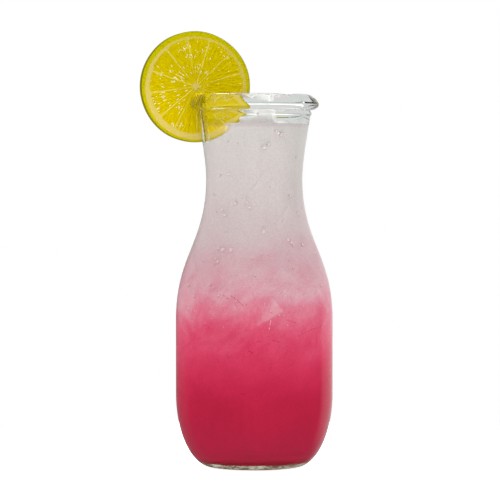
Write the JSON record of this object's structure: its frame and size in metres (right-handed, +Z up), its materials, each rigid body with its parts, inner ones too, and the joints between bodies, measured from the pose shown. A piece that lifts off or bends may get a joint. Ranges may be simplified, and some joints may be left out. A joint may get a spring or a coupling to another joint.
{
  "type": "carafe of pink lemonade",
  "caption": "Clear glass juice carafe with a rolled lip, filled with pink lemonade and ice, with a citrus wheel pushed over its rim.",
  "frame": {"origin": "on the carafe's axis, in the plane its foot stands on", "axes": "+Z up along the carafe's axis, -X towards the citrus wheel, -Y the way the wheel's cut face looks"},
  "size_m": [0.0983, 0.08, 0.2217],
  "materials": {
    "glass": "clear pressed glass with a faint green tint, fire-polished",
    "lemonade": "cloudy drink, deep raspberry at the bottom, pink above the middle and pale grey in the neck",
    "lemon": "wet citrus flesh with pale membranes and pith and a thin waxy rind",
    "ice": "wet, clear, slightly melted ice"
  },
  "bodies": {
    "root": {"carafe": "glass", "lemonade": "lemonade", "lemon_slice": "lemon", "ice_1": "ice", "ice_2": "ice"}
  },
  "joints": []
}
